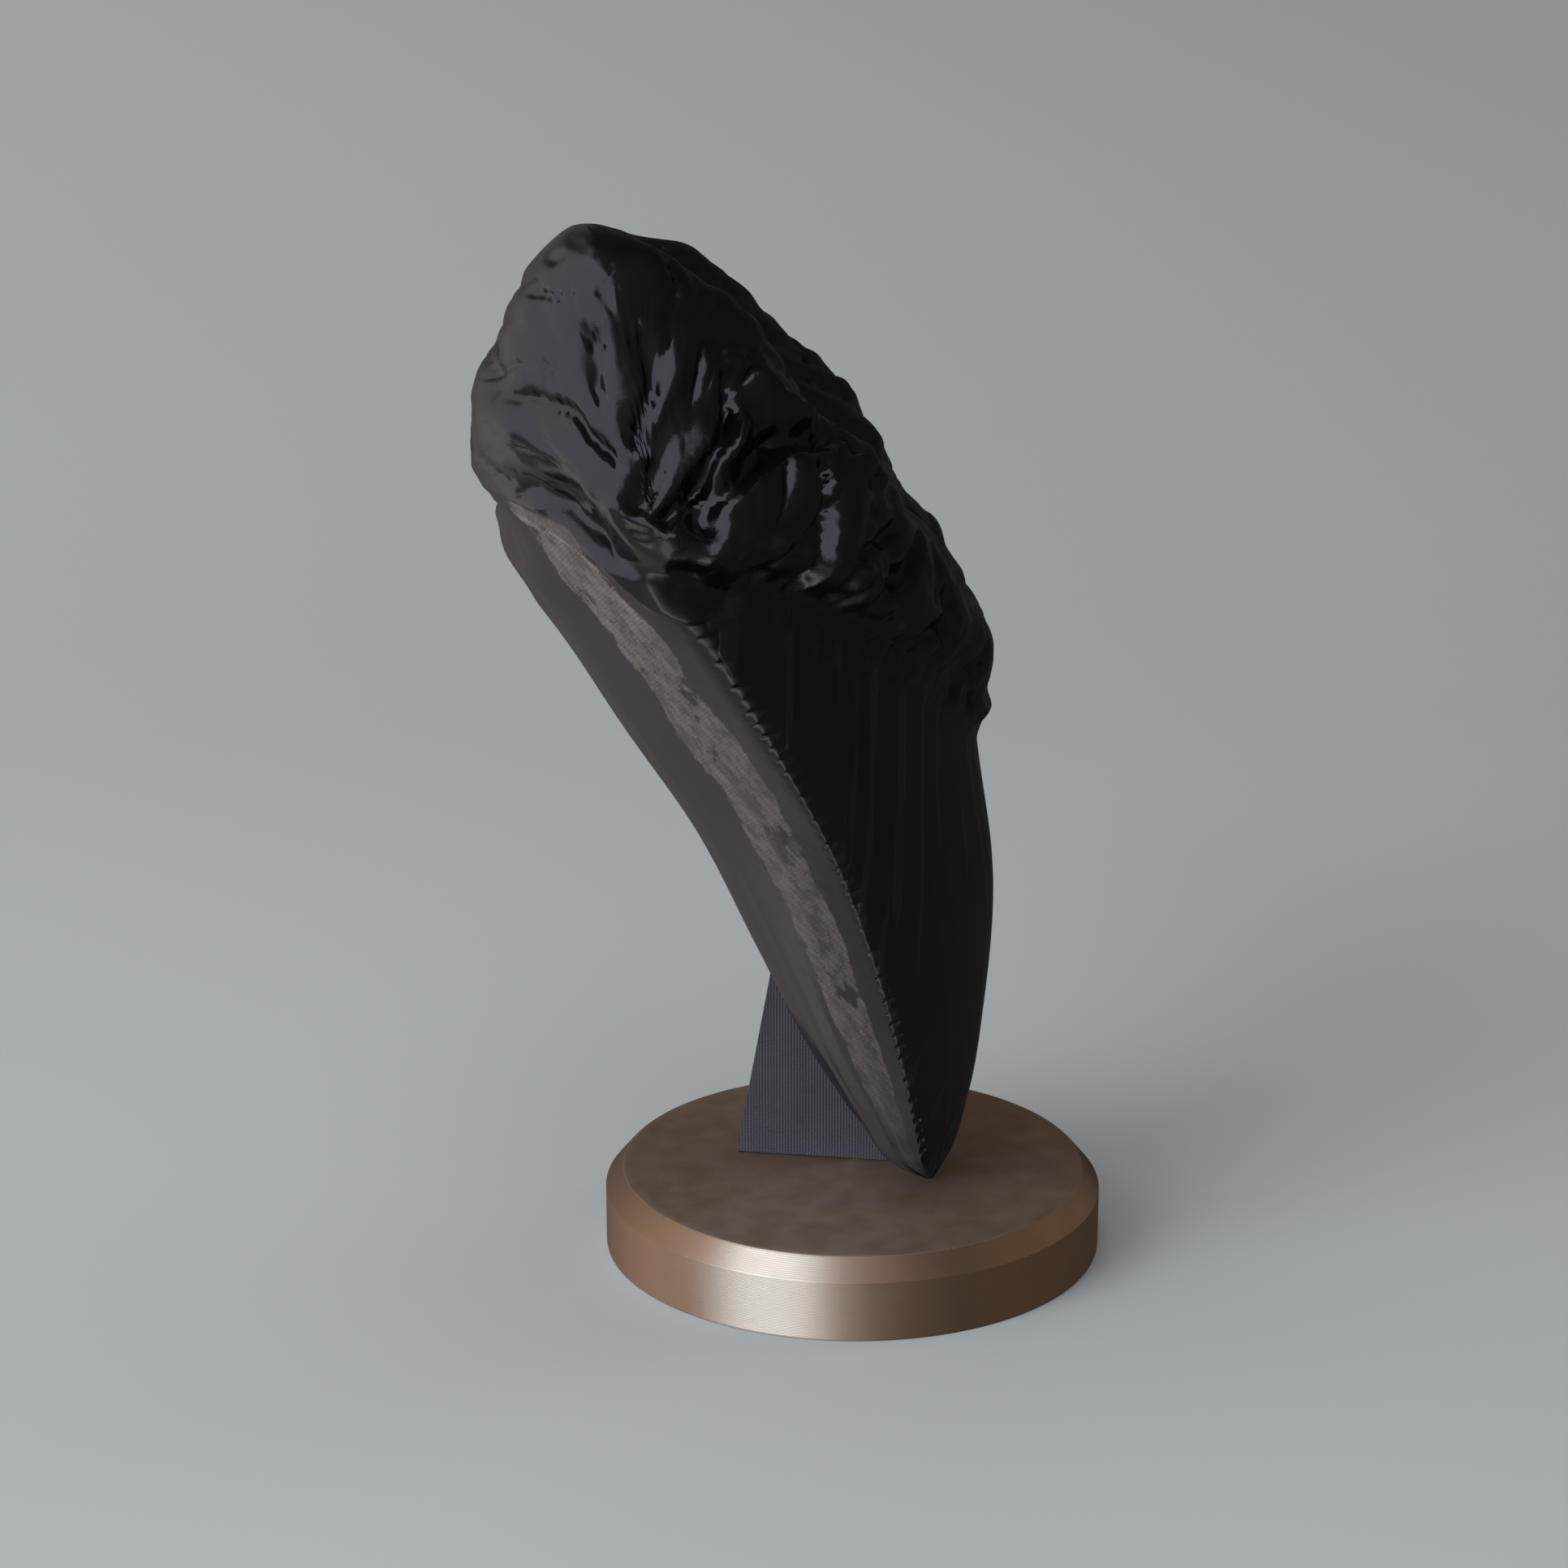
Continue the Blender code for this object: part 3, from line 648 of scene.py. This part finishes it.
# Painted shade: the gloss is weaker low down, near the stand
nodes.tree.links.new(nodes.range(height, .014, .042, .25, .5), shader.inputs["Specular IOR Level"])
normal = nodes.bump(layered(nodes, place, (.1, .2, .97), TOOTH_LINES_PER_METRE), .00002, .25)
normal = nodes.bump(nodes.noise(place, 260, 4), .00018, .5, normal)
crumple = nodes.noise(nodes.stretched(place, (1, 1, .5)), 240, 2, .5)
crumple = nodes.math("ABSOLUTE", nodes.math("SUBTRACT", crumple, .5))
crumple = nodes.math("MULTIPLY", crumple, root)
normal = nodes.bump(crumple, .0006, .22, normal)
normal = nodes.bump(streaks, .0002, .5, normal)
nodes.tree.links.new(normal, shader.inputs["Normal"])
tooth.data.materials.append(material)

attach(tooth, "root")
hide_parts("tooth")

# ---- Wedge ----------------------------------------------------------------------------------
# A plain printed wedge of dark violet-grey plastic with a satin skin, glued to the disc. Its
# front is hollowed to the tooth, and its edges are barely broken.

WEDGE_EDGE = .0004
WEDGE_DARK = (.016, .0155, .020, 1)
WEDGE_PALE = (.034, .0325, .042, 1)
UPRIGHT_LINES_PER_METRE = 2100
LEVEL_LINES_PER_METRE = 2900

# A copy of the solid's mesh with its doubles merged
wedge_mesh = bpy.data.meshes.new("wedge_block")
cad_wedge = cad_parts["support_wedge"].data
wedge_points = np.empty(3*len(cad_wedge.vertices))
cad_wedge.vertices.foreach_get("co", wedge_points)
cad_wedge.calc_loop_triangles()
wedge_triangles = np.empty(3*len(cad_wedge.loop_triangles), dtype=int)
cad_wedge.loop_triangles.foreach_get("vertices", wedge_triangles)
wedge_points, wedge_index = np.unique(np.round(wedge_points.reshape(-1, 3), 6), axis=0,
                                      return_inverse=True)
wedge_triangles = wedge_index.ravel()[wedge_triangles].reshape(-1, 3)
wedge_mesh.from_pydata(wedge_points, [], wedge_triangles)
wedge_mesh.validate()
wedge = bpy.data.objects.new("wedge_block", wedge_mesh)
bpy.context.collection.objects.link(wedge)
flatten = wedge.modifiers.new("flatten", "DECIMATE")
flatten.decimate_type = "DISSOLVE"
flatten.angle_limit = math.radians(1)
edge = wedge.modifiers.new("edge", "BEVEL")
edge.width = WEDGE_EDGE
edge.segments = 2
edge.limit_method = "ANGLE"
edge.angle_limit = math.radians(40)

material, nodes, shader = new_material("violet_grey_print")
place = nodes.add("ShaderNodeTexCoord").outputs["Object"]
weave = nodes.math("ADD", layered(nodes, place, (.2, .98, 0), UPRIGHT_LINES_PER_METRE),
                   layered(nodes, place, (0, 0, 1), LEVEL_LINES_PER_METRE))
shade = nodes.math("ADD", nodes.math("MULTIPLY", weave, .45), nodes.noise(place, 70, 3))
colour = nodes.mix(nodes.range(shade, .3, 1.1), WEDGE_DARK, WEDGE_PALE)
nodes.tree.links.new(colour, shader.inputs["Base Color"])
nodes.tree.links.new(nodes.range(nodes.noise(place, 200, 3), .3, .7, .42, .56),
                     shader.inputs["Roughness"])
nodes.tree.links.new(nodes.bump(weave, .0001, .8), shader.inputs["Normal"])
wedge.data.materials.append(material)

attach(wedge, "root")
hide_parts("support_wedge")

# ---- Disc -----------------------------------------------------------------------------------
# A round stand printed flat in copper-coloured silk plastic. The layers leave fine rings on
# its wall and on its bevelled rim, and the last layer a fine slanted hatch on its top.

DISC_HEIGHT = .013
DISC_RADIUS = .040
DISC_BEVEL_RUN = .0028
DISC_BEVEL_DROP = .0033
DISC_LAYER = .00025
DISC_EDGE = .0003
LAYER_DEPTH = .00003
DISC_SIDES = 288
POINTS_PER_LAYER = 4
COPPER_DARK = (.24, .152, .085, 1)
COPPER_PALE = (.32, .215, .135, 1)
HATCH_LINES_PER_METRE = 2400
DISC_LAMP_HEIGHT = .8


def disc_profile():
    """Radius and height from the middle of the top to the middle of the underside: straight
    runs joined by small quarter rounds, less a ripple of one wave for each layer."""
    z = np.linspace(DISC_HEIGHT, 0, round(DISC_HEIGHT/DISC_LAYER)*POINTS_PER_LAYER + 1)
    drop = DISC_HEIGHT - z
    radius = DISC_RADIUS - DISC_BEVEL_RUN*np.clip(1 - drop/DISC_BEVEL_DROP, 0, None)
    end = np.minimum(np.clip(drop/DISC_EDGE, 0, 1), np.clip(z/DISC_EDGE, 0, 1))
    radius = radius - DISC_EDGE*(1 - np.sqrt(1 - (1 - end)**2))
    radius = radius - LAYER_DEPTH*(1 - np.abs(np.sin(math.pi*z/DISC_LAYER)))
    flat = np.array([0, .25, .5, .75, .9, .97])
    top = flat*radius[0]
    under = flat[::-1]*radius[-1]
    return (np.concatenate([top, radius, under]),
            np.concatenate([np.full(len(flat), DISC_HEIGHT), z, np.zeros(len(flat))]))


def disc_points():
    """Grid of the disc: the profile carried round the Z axis."""
    radius, z = disc_profile()
    turn = np.linspace(0, 2*math.pi, DISC_SIDES, endpoint=False)
    return np.stack([radius[:, None]*np.cos(turn), radius[:, None]*np.sin(turn),
                     np.repeat(z[:, None], DISC_SIDES, axis=1)], axis=-1)


disc_rings = disc_points()
disc_rows = len(disc_rings)
disc_index = np.arange(disc_rows*DISC_SIDES).reshape(disc_rows, DISC_SIDES)
disc_index[0] = 0
disc_index[-1] = disc_index[-1, 0]
quads = disc_index.ravel()[grid_faces(disc_rows, DISC_SIDES, True)][:, ::-1]
faces = [list(dict.fromkeys(quad)) for quad in quads.tolist()]
disc = new_piece("copper_disc", disc_rings.reshape(-1, 3), faces)
disc.data.validate()

material, nodes, shader = new_material("copper_silk")
place = nodes.add("ShaderNodeTexCoord").outputs["Object"]
axes = nodes.add("ShaderNodeSeparateXYZ", Vector=place)
on_top = nodes.range(axes.outputs["Z"], DISC_HEIGHT - .0002, DISC_HEIGHT - .00005)
hatch = nodes.math("MULTIPLY", layered(nodes, place, (.77, .64, 0), HATCH_LINES_PER_METRE), on_top)
clouds = nodes.noise(place, 300, 3)
shade = nodes.math("ADD", nodes.math("MULTIPLY", hatch, .7), nodes.math("MULTIPLY", clouds, .3))
colour = nodes.mix(nodes.range(shade, .3, .9), COPPER_DARK, COPPER_PALE)
nodes.tree.links.new(colour, shader.inputs["Base Color"])
shader.inputs["Metallic"].default_value = .85
shader.inputs["Specular IOR Level"].default_value = .2
nodes.tree.links.new(nodes.range(nodes.noise(place, 180, 3), .3, .7, .46, .52),
                     shader.inputs["Roughness"])
nodes.tree.links.new(nodes.range(on_top, 0, 1, .8, .2), shader.inputs["Anisotropic"])
shader.inputs["Anisotropic Rotation"].default_value = .25
round_axis = nodes.add("ShaderNodeVectorMath", {"operation": "CROSS_PRODUCT"}, _0=(0, 0, 1),
                       _1=place).outputs["Vector"]
nodes.tree.links.new(round_axis, shader.inputs["Tangent"])
nodes.tree.links.new(nodes.bump(hatch, .00004, .5), shader.inputs["Normal"])
disc.data.materials.append(material)

disc_only = bpy.data.collections.new("disc_only")
disc_only.objects.link(disc)


def disc_lamp(name, place, width, watts, colour):
    """A rectangular soft box level with the Z axis, which only the disc's gloss shows."""
    lamp = soft_light(name, place, width, watts, colour)
    lamp.data.shape = "RECTANGLE"
    lamp.data.size_y = DISC_LAMP_HEIGHT
    lamp.rotation_euler = Vector((-place[0], -place[1], 0)).to_track_quat("-Z", "Y").to_euler()
    lamp.visible_glossy = True
    lamp.visible_diffuse = False
    lamp.light_linking.receiver_collection = disc_only


# The window's broad highlight on the disc's wall, and the room's faint glow on its other side
disc_lamp("window_on_disc", (-.777, .676, .42), .8, 70, (.34, .58, 1))
disc_lamp("room_on_disc", (.17, -.98, .42), 2, 2.4, (1, .80, .74))
disc.visible_glossy = False

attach(disc, "root")
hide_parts("base_disc")
